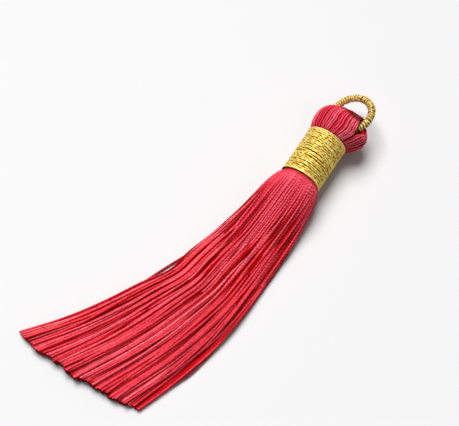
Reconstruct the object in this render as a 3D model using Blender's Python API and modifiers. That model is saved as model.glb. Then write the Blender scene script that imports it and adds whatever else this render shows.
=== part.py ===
# Thread tassel lying on a flat surface: a hank of red thread looped through a wrapped ring,
# bound at the neck with gold thread, its skirt swept to one side.
#
# Sizes are in millimetres until mm() turns them into Blender's metres. The neck points along +Y
# towards the ring, +Z is up, and the surface is z = 0. Until the last step the origin is below the
# lower end of the neck's binding.
import math
import random

import bmesh
import bpy
from mathutils import Matrix, Vector

# Neck: the axis rises a little towards the head, because the head is thicker than the neck.
NECK_TILT_DEG = 1.6
CORE_RADIUS = 4.2
CORE_PROUD = 0.35  # how far the core stands out of each end of the binding
CORE_SIDES = 60

# Binding: gold thread wound side by side round the core.
BINDING_LENGTH = 11.3
BINDING_RADIUS = 5.0
BINDING_INNER_RADIUS = CORE_RADIUS + 0.3
BINDING_TURNS = 23
BINDING_RIDGE = 0.1
BINDING_SIDES = 30

# Ring: a wire ring wrapped with the same gold thread. It stands in a plane that holds the neck's
# axis and is turned about that axis, with its right side up.
RING_RADIUS = 5.1  # to the middle of the wire
RING_WIRE_RADIUS = 0.84
RING_RIDGE = 0.06
RING_WRAPS = 48
RING_ABOVE_BINDING = 7.4
RING_OFFSET = 2.2  # the ring's centre from the neck's axis, to the right
RING_TURN_DEG = 25.0
RING_GAP = 0.3

# Head: the threads bulge out of the binding, run up one face, over the ring's wire and down the
# other face. The two faces meet in a valley at each side, where the wire comes out.
HEAD_RIDGE = 0.12
HEAD_VALLEY_HALF_DEG = 22.0
HEAD_VALLEY_SHALLOW = 1.2
HEAD_VALLEY_DEEP = 2.2
HEAD_VALLEY_FULL_ABOVE = 1.9
HEAD_WIRE_OUT_ABOVE = 3.4  # the wire shows from this height up
HEAD_SECTIONS = [
    # height above the binding, half_width along the ring, half_depth across it, shift to the right,
    # skew of the front face to the left and of the back face to the right
    (0.35, 4.20, 4.20, 0.00, 0.00),
    (0.75, 4.95, 4.85, 0.25, 0.10),
    (1.70, 5.85, 5.65, 0.80, 0.35),
    (2.70, 6.30, 6.05, 1.15, 0.60),
    (3.70, 6.50, 6.15, 1.40, 0.80),
    (4.90, 6.30, 5.85, 1.50, 0.90),
    (6.10, 5.70, 5.00, 1.45, 0.80),
    (7.10, 5.05, 3.70, 1.30, 0.50),
    (7.80, 4.50, 2.40, 1.20, 0.20),
    (8.30, 4.10, 1.10, 1.15, 0.00),
]

# Skirt: sections across it at distances along Y. Strands keep their share of the width and of the
# height from one section to the next, so they never cross.
SKIRT_SECTIONS = [
    # along, left, right, underside, underside_round, crown, crown_round
    (0.60, -4.00, 4.00, 0.93, 4.00, 8.93, 4.00),
    (-0.40, -4.05, 4.05, 0.81, 4.05, 8.91, 4.05),
    (-1.30, -5.55, 5.15, 0.20, 4.60, 9.45, 4.60),
    (-5.50, -7.20, 5.70, 0.00, 3.30, 8.60, 4.60),
    (-12.0, -9.10, 5.75, 0.00, 1.30, 7.30, 4.60),
    (-20.0, -11.70, 5.50, 0.00, 0.30, 6.10, 4.20),
    (-30.0, -15.60, 4.90, 0.00, 0.00, 5.00, 3.60),
    (-41.0, -20.90, 3.30, 0.00, 0.00, 4.20, 3.10),
    (-52.0, -28.30, 0.80, 0.00, 0.00, 3.50, 2.60),
    (-62.0, -36.10, -3.40, 0.00, 0.00, 3.00, 2.20),
]
SKIRT_COLUMNS = 36
SKIRT_LAYERS = 4
SKIRT_END_BULGE = 1.9  # the cut end runs this much further in the middle than at its corners
STRAND_STATIONS = (0.6, -1.0, -4.0, -10.0, -18.0, -27.0, -37.0, -48.5, -62.0)
STRAND_FILL = 0.80  # the share of its cell's width that a strand takes
STRAND_LAYER_FILL = 0.86
STRAND_TOP_SHARE = 0.55  # a strand's top is narrower than its foot
STRAND_TIP_UNEVEN = 0.7
LOCK_COUNT = 9
LOCK_HEIGHT = 0.07  # locks raise and lower the crown by this share of the skirt's height
SEED = 7

FLAT_DEPTH = 30.0  # how deep the floor cutter reaches
RED = (0.60, 0.015, 0.045, 1.0)
GOLD = (0.78, 0.56, 0.13, 1.0)


def mm(value):
    return value * 0.001


def clear_scene():
    for item in list(bpy.data.objects):
        bpy.data.objects.remove(item)


def new_collection(name):
    collection = bpy.data.collections.new(name)
    bpy.context.scene.collection.children.link(collection)
    return collection


def thread_material(name, colour, roughness, metallic):
    material = bpy.data.materials.new(name)
    material.use_nodes = True
    shader = material.node_tree.nodes["Principled BSDF"]
    shader.inputs["Base Color"].default_value = colour
    shader.inputs["Roughness"].default_value = roughness
    shader.inputs["Metallic"].default_value = metallic
    return material


def add_object(name, mesh, collection, parent, material=None):
    item = bpy.data.objects.new(name, mesh)
    collection.objects.link(item)
    item.parent = parent
    if material is not None:
        mesh.materials.append(material)
    return item


def finish_mesh(bm, name):
    """The mesh in metres, its faces pointing out."""
    bmesh.ops.recalc_face_normals(bm, faces=bm.faces)
    bmesh.ops.scale(bm, vec=Vector((mm(1), mm(1), mm(1))), verts=bm.verts)
    mesh = bpy.data.meshes.new(name)
    bm.to_mesh(mesh)
    bm.free()
    return mesh


def loft(bm, sections, cap_pairs=False):
    """Skins closed sections that have the same number of points, and caps both ends."""
    rings = [[bm.verts.new(point) for point in section] for section in sections]
    count = len(rings[0])
    for lower, upper in zip(rings, rings[1:]):
        for i in range(count):
            j = (i + 1) % count
            bm.faces.new((lower[i], lower[j], upper[j], upper[i]))
    bm.faces.new(rings[0][::-1])
    if not cap_pairs:
        bm.faces.new(rings[-1])
        return
    last = rings[-1]
    for i in range(count // 2):
        corners = [last[i], last[i + 1], last[(count - i - 1) % count], last[(count - i) % count]]
        bm.faces.new(list(dict.fromkeys(corners)))


def spline_value(rows, along, column):
    """A column of a table at any place along it, on a smooth curve through the rows."""
    last = len(rows) - 1
    step = next((i for i in range(last) if rows[i][0] >= along >= rows[i + 1][0]), None)
    if step is None:
        return rows[0][column] if along > rows[0][0] else rows[last][column]
    start, end = rows[step], rows[step + 1]
    gap = end[0] - start[0]
    share = (along - start[0]) / gap

    def slope(i):
        before, after = rows[max(i - 1, 0)], rows[min(i + 1, last)]
        return (after[column] - before[column]) / (after[0] - before[0])

    rise, fall = slope(step) * gap, slope(step + 1) * gap
    return (
        start[column] * (1 + 2 * share) * (1 - share) ** 2
        + rise * share * (1 - share) ** 2
        + end[column] * share**2 * (3 - 2 * share)
        - fall * share**2 * (1 - share)
    )


def neck_frame():
    """Local X to the right, Y along the neck's axis and Z up from it, at the binding's lower end."""
    tilt = math.radians(NECK_TILT_DEG)
    axis_height = BINDING_RADIUS * math.cos(tilt) - 0.1
    return Matrix.Translation((0, 0, axis_height)) @ Matrix.Rotation(tilt, 4, "X")


def ring_frame():
    """The neck's frame at the binding's upper end, turned about the axis into the ring's plane."""
    turn = Matrix.Rotation(-math.radians(RING_TURN_DEG), 4, "Y")
    return neck_frame() @ Matrix.Translation((0, BINDING_LENGTH, 0)) @ turn


def valley_depth(height, half_width, shift, side):
    """How deep the valley is at a height: down to the wire, where the wire shows."""
    start = HEAD_SECTIONS[0][0]
    grown = min(1, max(0, (height - start) / (HEAD_VALLEY_FULL_ABOVE - start)))
    shallow = HEAD_VALLEY_SHALLOW * grown
    if height < HEAD_WIRE_OUT_ABOVE:
        return shallow
    reach = math.sqrt(RING_RADIUS**2 - (height - RING_ABOVE_BINDING) ** 2)
    wire = reach + side * (RING_OFFSET - shift)  # from the head's middle to the wire's
    return min(HEAD_VALLEY_DEEP, max(shallow, half_width - wire))


def head_section(height, half_width, half_depth, shift, skew):
    """One closed section of the head, with thread ridges and the valley at each side."""
    points = []
    for i in range(CORE_SIDES):
        angle = 2 * math.pi * i / CORE_SIDES
        side = 1 if math.cos(angle) > 0 else -1
        from_side = math.degrees(math.asin(abs(math.sin(angle))))
        ridge = HEAD_RIDGE * (1 if i % 2 else -1) if height > HEAD_SECTIONS[0][0] else 0
        near = max(0, 1 - (from_side / HEAD_VALLEY_HALF_DEG) ** 2)
        across = (half_width + ridge) * math.cos(angle)
        across -= side * near * valley_depth(height, half_width, shift, side)
        across += shift - skew * math.sin(angle)
        points.append(Vector((across, height, (half_depth + ridge) * math.sin(angle))))
    return points


def core_and_head():
    """The bound core of the hank and the head that bulges out above the binding."""
    frame = ring_frame()
    bottom = -BINDING_LENGTH - CORE_PROUD
    base = head_section(*HEAD_SECTIONS[0])
    sections = [[Vector((p.x, bottom, p.z)) for p in base]]
    sections += [head_section(*row) for row in HEAD_SECTIONS]
    bm = bmesh.new()
    loft(bm, [[frame @ p for p in section] for section in sections], cap_pairs=True)
    return finish_mesh(bm, "core_and_head")


def lock_wave(share, along):
    """Locks of threads: soft ridges that run down the skirt and fade out towards the neck."""
    grown = min(1, max(0, -along / 30))
    phase = math.pi * (share + 1) * LOCK_COUNT + 1.6 * math.sin(3 * share + 0.04 * along)
    return 1 + LOCK_HEIGHT * grown * math.sin(phase)


def skirt_point(share, level, along):
    """The point at a share of the width (-1 left, 1 right) and of the height (0 to 1)."""
    left, right, under, under_round, crown, crown_round = (
        spline_value(SKIRT_SECTIONS, along, column) for column in range(1, 7)
    )
    bow = 1 - math.sqrt(max(0, 1 - share**2))
    low = max(0, under) + max(0, under_round) * bow
    high = (crown - crown_round * bow) * lock_wave(share, along)
    across = (left + right) / 2 + share * (right - left) / 2
    return Vector((across, along, low + level * max(high - low, 0.35)))


def strand_sections(column, layer, layers, tip):
    """A strand's four-cornered sections from its root in the core to its tip."""
    cell = 2 / SKIRT_COLUMNS
    middle = -1 + (column + 0.5) * cell
    half_foot = cell * STRAND_FILL / 2
    half_top = half_foot * STRAND_TOP_SHARE
    low = layer / layers
    high = low + STRAND_LAYER_FILL / layers
    corners = (
        (middle - half_foot, low),
        (middle + half_foot, low),
        (middle + half_top, high),
        (middle - half_top, high),
    )
    stations = STRAND_STATIONS[:-1] + (STRAND_STATIONS[-1] + tip,)
    return [[skirt_point(share, level, along) for share, level in corners] for along in stations]


def strands():
    """Every strand of the skirt, each apart from the others. Their roots reach into the core."""
    chance = random.Random(SEED)
    bm = bmesh.new()
    for column in range(SKIRT_COLUMNS):
        middle = -1 + (2 * column + 1) / SKIRT_COLUMNS
        layers = max(1, round(SKIRT_LAYERS * math.sqrt(1 - middle**2)))
        for layer in range(layers):
            tip = chance.uniform(-STRAND_TIP_UNEVEN, STRAND_TIP_UNEVEN)
            tip -= SKIRT_END_BULGE * (1 - middle**2)
            loft(bm, strand_sections(column, layer, layers, tip))
    return finish_mesh(bm, "strands")


def floor_block():
    """A cutter under the surface: what sinks into it is left flat, as thread pressed down is."""
    bm = bmesh.new()
    place = Matrix.Translation((0, 0, -FLAT_DEPTH / 2)) @ Matrix.Diagonal((60, 60, FLAT_DEPTH, 1))
    bmesh.ops.create_cube(bm, size=1, matrix=place)
    return finish_mesh(bm, "floor_block")


def torus(name, wire_radius, segments, sides, ridge=0.0):
    """A ring in the head's frame. With a ridge, its wire is wrapped with a thread."""
    bpy.ops.mesh.primitive_torus_add(
        major_segments=segments,
        minor_segments=sides,
        major_radius=RING_RADIUS,
        minor_radius=wire_radius,
    )
    item = bpy.context.object
    bm = bmesh.new()
    bm.from_mesh(item.data)
    bpy.data.objects.remove(item)
    for vert in bm.verts:
        around = math.atan2(vert.co.y, vert.co.x)
        middle = Vector((math.cos(around), math.sin(around), 0)) * RING_RADIUS
        offset = vert.co - middle
        about = math.atan2(offset.z, offset.dot(middle) / RING_RADIUS)
        wave = math.cos(RING_WRAPS * around + about)
        vert.co = middle + offset * (1 + ridge * wave / wire_radius)
    centre = Vector((RING_OFFSET, RING_ABOVE_BINDING, 0))
    bmesh.ops.transform(bm, matrix=ring_frame() @ Matrix.Translation(centre), verts=bm.verts)
    return finish_mesh(bm, name)


def binding_profile():
    """Half a section of the binding: ridges down the outside, the bore up the inside."""
    pitch = BINDING_LENGTH / BINDING_TURNS
    outside = []
    for i in range(2 * BINDING_TURNS + 1):
        crest = BINDING_RIDGE if i % 2 else 0
        outside.append((BINDING_RADIUS - BINDING_RIDGE + crest, BINDING_LENGTH - i * pitch / 2))
    bore = [(BINDING_INNER_RADIUS, 0), (BINDING_INNER_RADIUS, BINDING_LENGTH)]
    return outside + bore


def binding(collection, parent, material):
    """The wound binding, turned about the neck's axis."""
    bm = bmesh.new()
    verts = [bm.verts.new((radius, 0, along)) for radius, along in binding_profile()]
    for start, end in zip(verts, verts[1:] + verts[:1]):
        bm.edges.new((start, end))
    bmesh.ops.scale(bm, vec=Vector((mm(1), mm(1), mm(1))), verts=bm.verts)
    mesh = bpy.data.meshes.new("gold_binding")
    bm.to_mesh(mesh)
    bm.free()
    item = add_object("gold_binding", mesh, collection, parent, material)
    place = neck_frame() @ Matrix.Rotation(-math.pi / 2, 4, "X")
    item.matrix_local = Matrix.Translation(place.translation * mm(1)) @ place.to_3x3().to_4x4()
    turned = item.modifiers.new("Turned", "SCREW")
    turned.axis = "Z"
    turned.steps = BINDING_SIDES
    turned.render_steps = BINDING_SIDES
    turned.use_merge_vertices = True
    turned.merge_threshold = mm(0.01)
    return item


def boolean(item, operation, other):
    cut = item.modifiers.new(other.name, "BOOLEAN")
    cut.operation = operation
    cut.object = other


def helper(name, mesh, collection, parent):
    """An object that only cuts or joins another one."""
    item = add_object(name, mesh, collection, parent)
    item.hide_render = True
    item.display_type = "WIRE"
    return item


def smooth(item, angle_deg):
    item.data.shade_smooth()
    item.data.set_sharp_from_angle(angle=math.radians(angle_deg))


def centre_on_floor(parts, origin):
    """Moves the whole tassel so that the origin is under the middle of its box."""
    graph = bpy.context.evaluated_depsgraph_get()
    corners = []
    for part in parts:
        seen = part.evaluated_get(graph)
        mesh = seen.to_mesh()
        corners += [seen.matrix_world @ vert.co for vert in mesh.vertices]
        seen.to_mesh_clear()
    middle_x = (min(p.x for p in corners) + max(p.x for p in corners)) / 2
    middle_y = (min(p.y for p in corners) + max(p.y for p in corners)) / 2
    origin.location = (-middle_x, -middle_y, 0)


def build():
    clear_scene()
    parts = new_collection("thread_tassel")
    helpers = new_collection("cutters")
    origin = bpy.data.objects.new("tassel_origin", None)
    parts.objects.link(origin)
    red = thread_material("red_thread", RED, 0.42, 0.0)
    gold = thread_material("gold_thread", GOLD, 0.34, 0.9)

    hank = add_object("thread_hank", core_and_head(), parts, origin, red)
    ring = add_object(
        "hanging_ring",
        torus("hanging_ring", RING_WIRE_RADIUS, 3 * RING_WRAPS, 7, RING_RIDGE),
        parts,
        origin,
        gold,
    )
    wound = binding(parts, origin, gold)

    channel_radius = RING_WIRE_RADIUS + RING_RIDGE + RING_GAP
    channel = helper("ring_channel", torus("ring_channel", channel_radius, 48, 12), helpers, origin)
    block = helper("floor_block", floor_block(), helpers, origin)
    skirt = helper("strands", strands(), helpers, origin)
    boolean(hank, "DIFFERENCE", channel)
    boolean(hank, "DIFFERENCE", block)
    boolean(hank, "UNION", skirt)
    boolean(wound, "DIFFERENCE", block)

    for item, angle in ((hank, 50), (ring, 60), (wound, 50)):
        smooth(item, angle)
    bpy.context.view_layer.update()
    centre_on_floor((hank, ring, wound), origin)


build()
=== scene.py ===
import math

import bpy
import numpy as np
from mathutils import Matrix, Vector


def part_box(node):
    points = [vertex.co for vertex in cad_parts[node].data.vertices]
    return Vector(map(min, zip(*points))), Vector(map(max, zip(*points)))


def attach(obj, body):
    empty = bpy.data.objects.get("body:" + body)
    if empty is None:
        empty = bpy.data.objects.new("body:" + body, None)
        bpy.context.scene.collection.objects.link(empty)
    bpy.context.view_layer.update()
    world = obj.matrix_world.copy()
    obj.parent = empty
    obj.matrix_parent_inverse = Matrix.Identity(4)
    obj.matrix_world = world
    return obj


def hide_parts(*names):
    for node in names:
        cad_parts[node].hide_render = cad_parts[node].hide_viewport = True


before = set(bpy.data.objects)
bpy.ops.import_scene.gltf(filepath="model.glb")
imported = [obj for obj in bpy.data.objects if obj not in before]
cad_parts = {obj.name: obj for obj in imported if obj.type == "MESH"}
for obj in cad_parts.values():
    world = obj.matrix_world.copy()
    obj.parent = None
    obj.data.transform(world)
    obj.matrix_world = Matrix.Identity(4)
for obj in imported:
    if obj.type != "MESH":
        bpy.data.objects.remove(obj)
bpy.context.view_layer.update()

mm = 0.001
chance = np.random.default_rng(11)
goldenShare = 0.618  # its multiples pick threads that are spread evenly


# Where things are
# Shapes are worked out in millimetres from the point under the neck's lower end.

neck = {
    "tilt": 1.6,  # degrees, the head end is higher
    "swing": 2.2,  # degrees, the head end is further right
    "aside": (-0.25, -0.29),  # of the lower end
    "length": 11.8,
    "radius": 4.85,  # outside of the gold thread
    "height": 4.85,  # of the axis, at the lower end
}
ringPlace = {
    "radius": 4.95,  # to the middle of the wire
    "above": 8.3,  # its centre, above the gold thread
    "right": 1.55,  # its centre, from the neck's axis
    "turn": 25.0,  # degrees about the neck's axis, right side up
}

sleeveLow, sleeveHigh = (np.array(corner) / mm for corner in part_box("gold_binding"))
tilt = math.radians(neck["tilt"])
start = np.array([
    (sleeveLow[0] + sleeveHigh[0]) / 2,
    sleeveLow[1] + (sleeveHigh[2] - sleeveLow[2]) / 2 * math.sin(tilt),
    0.0,
])

swing = math.radians(neck["swing"])
rightDir = np.array([math.cos(swing), -math.sin(swing), 0.0])
axisDir = np.array([
    math.sin(swing) * math.cos(tilt), math.cos(swing) * math.cos(tilt), math.sin(tilt)
])
upDir = np.cross(rightDir, axisDir)
turn = math.radians(ringPlace["turn"])
# across the head in the ring's plane, and out of the head's front face
alongRing = math.cos(turn) * rightDir + math.sin(turn) * upDir
towardsFront = math.cos(turn) * upDir - math.sin(turn) * rightDir
neckStart = np.array([*neck["aside"], neck["height"]])
neckTop = neckStart + axisDir * neck["length"]


def tableValue(rows, at, column):
    # a smooth curve through one column of a table, by its first column
    places = np.array([row[0] for row in rows])
    values = np.array([row[column] for row in rows])
    if places[0] > places[-1]:
        places, values = places[::-1], values[::-1]
    slopes = np.empty(len(values))
    slopes[1:-1] = (values[2:] - values[:-2]) / (places[2:] - places[:-2])
    slopes[0] = (values[1] - values[0]) / (places[1] - places[0])
    slopes[-1] = (values[-1] - values[-2]) / (places[-1] - places[-2])
    at = np.clip(at, places[0], places[-1])
    k = np.clip(np.searchsorted(places, at) - 1, 0, len(places) - 2)
    gap = places[k + 1] - places[k]
    s = (at - places[k]) / gap
    return (
        values[k] * (1 + 2 * s) * (1 - s) ** 2
        + slopes[k] * gap * s * (1 - s) ** 2
        + values[k + 1] * s**2 * (3 - 2 * s)
        - slopes[k + 1] * gap * s**2 * (1 - s)
    )


def unit(vectors):
    return vectors / np.linalg.norm(vectors, axis=-1, keepdims=True)


def evenly(path, count):
    # the same path with its points evenly spaced
    steps = np.linalg.norm(np.diff(path, axis=0), axis=1)
    along = np.concatenate([[0], np.cumsum(steps)])
    rows = [tuple([a, *p]) for a, p in zip(along, path)]
    at = np.linspace(0, along[-1], count)
    return np.stack([tableValue(rows, at, column) for column in (1, 2, 3)], axis=1)


def fade(at, start, over):
    # grows from 0 at the start to 1, upwards of it, or downwards where over is below 0
    return np.clip((at - start) / over, 0, 1)


def aroundNeck(angle):
    # the direction out of the neck at each angle round it
    return np.cos(angle)[:, None] * rightDir + np.sin(angle)[:, None] * upDir


def acrossSkirt(x, along, z):
    return np.stack([x, np.full(len(x), along), z], axis=1)


def addObject(name, data):
    item = bpy.data.objects.new(name, data)
    bpy.context.scene.collection.objects.link(item)
    return item


# Threads

threadMesh = {
    "firstTwist": 2.0,  # mm, where a thread's twist starts, at most
    "twistWander": [
        # mm the twist runs ahead, how fast that changes, and how late
        (0.12, 0.9, 5),
        (0.2, 0.31, 3),
    ],
    "cutAround": 0.3,  # painted shade: the cut ends take the side shade of that far round
    "sharp": 65.0,  # degrees
}


def threadPiece(
    name, paths, refs, radii, sides, material, plies=None, cutMaterial=None, tucked=0.0
):
    # Sweeps a round section along many paths at once. The uv map has the share of the way
    # round from the side that refs gives, and the twist: mm along the thread, with its own
    # start and slip. plies = (count, depth, pitch) shapes the twisted plies into the mesh too.
    # The last argument is painted shade, 1 where a thread is darkest: right under the binding's
    # end, or in a crease.
    count, points = paths.shape[:2]
    ahead = unit(np.gradient(paths, axis=1))
    out = unit(refs - (refs * ahead).sum(-1, keepdims=True) * ahead)
    side = np.cross(ahead, out)
    steps = np.linalg.norm(np.diff(paths, axis=1), axis=2)
    along = np.concatenate([np.zeros((count, 1)), np.cumsum(steps, axis=1)], axis=1)
    first = chance.uniform(0, threadMesh["firstTwist"], (count, 1))
    twist = along + first
    for most, pace, late in threadMesh["twistWander"]:
        twist = twist + most * np.sin(pace * along + late * first)
    share = np.arange(sides) / sides
    angle = share * 2 * np.pi
    size = np.broadcast_to(radii, (count, points))[:, :, None] * np.ones(sides)
    if plies:
        number, depth, pitch = plies
        size = size * (1 + depth * np.cos(number * angle - 2 * np.pi * twist[:, :, None] / pitch))
    ring = (
        out[:, :, None, :] * np.cos(angle)[:, None]
        + side[:, :, None, :] * np.sin(angle)[:, None]
    )
    verts = (paths[:, :, None, :] + ring * size[..., None]).reshape(-1, 3)
    verts[:, 2] = np.maximum(verts[:, 2], 0.0)  # nothing goes below the table

    index = np.arange(count * points * sides).reshape(count, points, sides)
    turned = np.roll(index, -1, axis=2)
    quads = np.stack(
        [index[:, :-1], turned[:, :-1], turned[:, 1:], index[:, 1:]], axis=-1
    ).reshape(-1, 4)
    u = np.broadcast_to(share, (count, points - 1, sides))
    v0 = np.broadcast_to(twist[:, :-1, None], u.shape)
    v1 = np.broadcast_to(twist[:, 1:, None], u.shape)
    uv = np.stack([u, v0, u + 1 / sides, v0, u + 1 / sides, v1, u, v1], axis=-1).reshape(-1, 2)
    starts = index[:, 0, ::-1]
    ends = index[:, -1]
    capUv = np.full((2 * count * sides, 2), threadMesh["cutAround"])
    capUv[count * sides:, 1] = np.repeat(twist[:, -1], sides)

    mesh = bpy.data.meshes.new(name)
    rows = ((verts + start) * mm).tolist()
    mesh.from_pydata(rows, [], quads.tolist() + starts.tolist() + ends.tolist())
    mesh.uv_layers.new(name="thread").data.foreach_set("uv", np.concatenate([uv, capUv]).ravel())
    tone = mesh.attributes.new("tone", "FLOAT", "POINT")
    tone.data.foreach_set("value", np.repeat(chance.random(count), points * sides))
    # painted shade, for each point
    tuck = mesh.attributes.new("tucked", "FLOAT", "POINT")
    tuckedThere = np.broadcast_to(tucked, (count, points)).ravel()
    tuck.data.foreach_set("value", np.repeat(tuckedThere, sides))
    mesh.shade_smooth()
    mesh.set_sharp_from_angle(angle=math.radians(threadMesh["sharp"]))
    mesh.materials.append(material)
    if cutMaterial:
        mesh.materials.append(cutMaterial)
        for face in mesh.polygons[len(quads):]:
            face.material_index = 1
    piece = addObject(name, mesh)
    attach(piece, "root")
    print(f"{name}: {count} threads, {len(quads) * 2} triangles")
    return piece


# Materials

def addNode(tree, kind, inputs=(), **settings):
    # inputs: numbers, colours or other nodes' outputs, in the sockets' order
    node = tree.nodes.new(kind)
    for key, value in settings.items():
        setattr(node, key, value)
    for socket, value in zip(node.inputs, inputs):
        putIn(tree, socket, value)
    return node


def putIn(tree, socket, value):
    if isinstance(value, bpy.types.NodeSocket):
        tree.links.new(value, socket)
    elif value is not None:
        socket.default_value = value


def calculate(tree, operation, *values):
    return addNode(tree, "ShaderNodeMath", values, operation=operation).outputs[0]


def multiplyColour(tree, share, first, second):
    node = addNode(tree, "ShaderNodeMix", data_type="RGBA", blend_type="MULTIPLY")
    putIn(tree, node.inputs[0], share)
    putIn(tree, node.inputs[6], first)
    putIn(tree, node.inputs[7], second)
    return node.outputs[2]


def cloudNoise(tree, vector, scale, detail=2.0, roughness=0.5):
    return addNode(
        tree, "ShaderNodeTexNoise", (vector, None, scale, detail, roughness)
    ).outputs["Fac"]


def colourRamp(tree, value, stops):
    node = addNode(tree, "ShaderNodeValToRGB", (value,))
    while len(node.color_ramp.elements) < len(stops):
        node.color_ramp.elements.new(0.5)
    for element, (place, colour) in zip(node.color_ramp.elements, stops):
        element.position = place
        element.color = colour
    return node.outputs[0]


def darken(tree, colour, value, finish, key, share=None):
    # Multiplies by the finish's colour of that name, all of it up to its first stop in the value
    # and none of it from its second.
    low, high = finish[key + "Stops"]
    shade = colourRamp(tree, value, [(low, finish[key]), (high, (1, 1, 1, 1))])
    return multiplyColour(tree, finish[key + "Share"] if share is None else share, colour, shade)


def newMaterial(name, finish):
    material = bpy.data.materials.new(name)
    material.use_nodes = True
    shader = material.node_tree.nodes["Principled BSDF"]
    shader.inputs["Roughness"].default_value = finish["roughness"]
    shader.inputs["Metallic"].default_value = finish.get("metal", 0.0)
    shader.inputs["Specular IOR Level"].default_value = finish["shine"]
    return material, material.node_tree, shader


def addBump(tree, shader, height, distance):
    node = addNode(tree, "ShaderNodeBump")
    node.inputs["Distance"].default_value = distance * mm
    putIn(tree, node.inputs["Height"], height)
    putIn(tree, shader.inputs["Normal"], node.outputs[0])


def threadPlaces(tree):
    # the share of the way round, and the twist in mm
    uv = addNode(tree, "ShaderNodeUVMap", uv_map="thread").outputs[0]
    parts = addNode(tree, "ShaderNodeSeparateXYZ", (uv,))
    return uv, parts.outputs[0], parts.outputs[1]


def twistedPlies(tree, around, twist, pitch):
    # 1 on top of each of the two plies, 0 in the crease between them
    turns = calculate(tree, "DIVIDE", twist, pitch)
    phase = calculate(tree, "SUBTRACT", calculate(tree, "MULTIPLY", around, 2.0), turns)
    wave = calculate(tree, "COSINE", calculate(tree, "MULTIPLY", phase, 2 * math.pi))
    return calculate(tree, "MULTIPLY_ADD", wave, 0.5, 0.5)


def stretched(tree, uv, scale, lean=0.0):
    node = addNode(tree, "ShaderNodeMapping", (uv,))
    node.inputs["Rotation"].default_value = (0, 0, lean)
    node.inputs["Scale"].default_value = scale
    return node.outputs[0]


def facingOut(tree, around):
    # 1 on a thread's open side, 0 at its two sides
    return calculate(tree, "COSINE", calculate(tree, "MULTIPLY", around, 2 * math.pi))


redFinish = {
    "light": (1.0, 0.29, 0.345, 1),
    "middle": (0.92, 0.088, 0.128, 1),
    "dark": (0.62, 0.004, 0.012, 1),
    "toneStops": (0.0, 0.22, 0.62, 1.0),  # dark, middle, middle, light
    "side": (0.78, 0.0, 0.0, 1),  # painted shade, times the colour, where a thread turns in; the pinker top that it leaves is a painted highlight
    "sideStops": (0.25, 0.98),  # cosines from the thread's open side
    "sideShare": (1.0, 0.95),  # at the neck, and further down
    "crease": (0.56, 0.08, 0.12, 1),  # painted shade, times the colour, between the plies
    "creaseStops": (0.0, 0.4),
    "creaseShare": 0.95,
    "tucked": (0.43, 0.0, 0.0, 1),  # painted shade, times the colour, in the creases, beside the binding and at the low threads' cut ends
    "roughness": 0.42,
    "shine": 0.02,
    "sheen": 0.005,
    "sheenRoughness": 0.3,
    "sheenTint": (1.0, 0.45, 0.55, 1),
    "plyPitch": 0.74,  # mm of thread from one ply to the next
    "plyDepth": 0.13,  # mm
    "fades": 46.0,  # mm of thread, in which the plies open out
    "opens": 0.8,  # the most that they do
    "drift": (0.72, 0.50, 0.52, 1),  # in slow drifts
    "driftScale": 300.0,
    "driftStops": (0.32, 0.62),
    "driftShare": 0.4,
    "grain": (0.62, 0.28, 0.36, 1),  # in fine mottling
    "grainScale": 1900.0,
    "grainStops": (0.36, 0.56),
    "grainShare": 0.7,
    "streak": (0.62, 0.36, 0.4, 1),  # in filaments along the thread
    "streakScale": (16.0, 1.6, 1.0),  # round the thread, and along it
    "streakLean": 0.12,  # radians
    "streakStops": (0.36, 0.56),
    "streakShare": 0.5,
    "streakHeight": 0.45,  # against the plies
}
neckFinish = {
    **redFinish,
    "light": (1.0, 0.20, 0.28, 1),
    "middle": (1.0, 0.118, 0.178, 1),
    "dark": (0.80, 0.004, 0.015, 1),
    # painted shade at the threads' sides
    "side": (0.90, 0.0, 0.0, 1),
    "sideStops": (0.30, 0.98),
    "sideShare": (1.0, 1.0),
    "grainShare": 0.5,
    "creaseShare": 0.42,
    "plyDepth": 0.09,
    "fades": 90.0,
}
headFinish = {
    **redFinish,
    "plyPitch": 1.9,
    "light": (1.0, 0.25, 0.34, 1),
    "middle": (1.0, 0.105, 0.175, 1),
    "dark": (0.78, 0.006, 0.035, 1),
    # painted shade at the threads' sides
    "side": (0.38, 0.0, 0.0, 1),
    "sideStops": (0.45, 0.97),
    "sideShare": (1.0, 1.0),
    # painted shade in the head's creases, beside the binding and on its crest
    "tucked": (0.18, 0.0, 0.0, 1),
    "plyDepth": 0.06,
    "grainShare": 0.3,
    "creaseShare": 0.3,
}


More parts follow.
